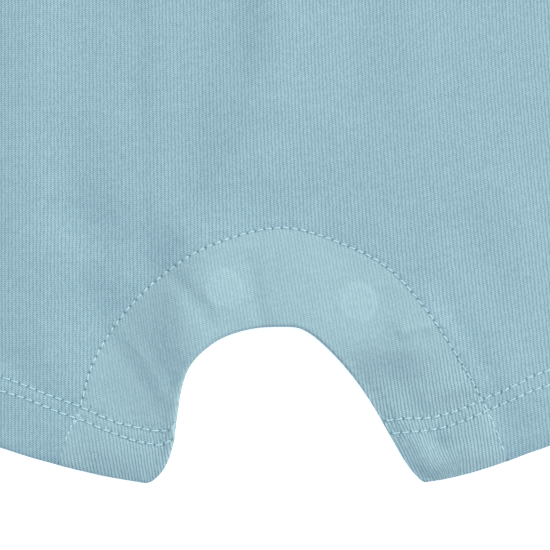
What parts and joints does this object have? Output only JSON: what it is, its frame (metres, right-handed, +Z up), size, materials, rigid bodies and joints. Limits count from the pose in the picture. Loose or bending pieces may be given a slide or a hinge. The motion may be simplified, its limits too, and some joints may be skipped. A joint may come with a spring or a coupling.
{
  "type": "short romper",
  "caption": "Baby's short-sleeved romper in jersey with short legs, a horseshoe crotch band with hidden snaps and a rib neckband, laid flat.",
  "frame": {"origin": "middle of the footprint, on the surface that the romper lies on", "axes": "+Y from the crotch up to the neck, +X to the right of someone who looks down at the front, +Z up from the back towards the front"},
  "size_m": [0.3506, 0.4136, 0.006],
  "materials": {
    "body_jersey": "light blue cotton single jersey, fine upright wales, matt",
    "band_jersey": "the same jersey cut with a slight lean, matt",
    "rib": "light blue one-by-one cotton rib, matt",
    "snap_metal": "nickel-plated ring snap, hidden between the plies"
  },
  "bodies": {
    "root": {"front_body": "body_jersey", "back_body": "body_jersey", "crotch_band_front": "band_jersey", "crotch_band_back": "band_jersey", "sleeve_left": "body_jersey", "sleeve_right": "body_jersey", "neckband": "rib", "snap_socket_left": "snap_metal", "snap_stud_left": "snap_metal", "snap_socket_right": "snap_metal", "snap_stud_right": "snap_metal"}
  },
  "joints": []
}
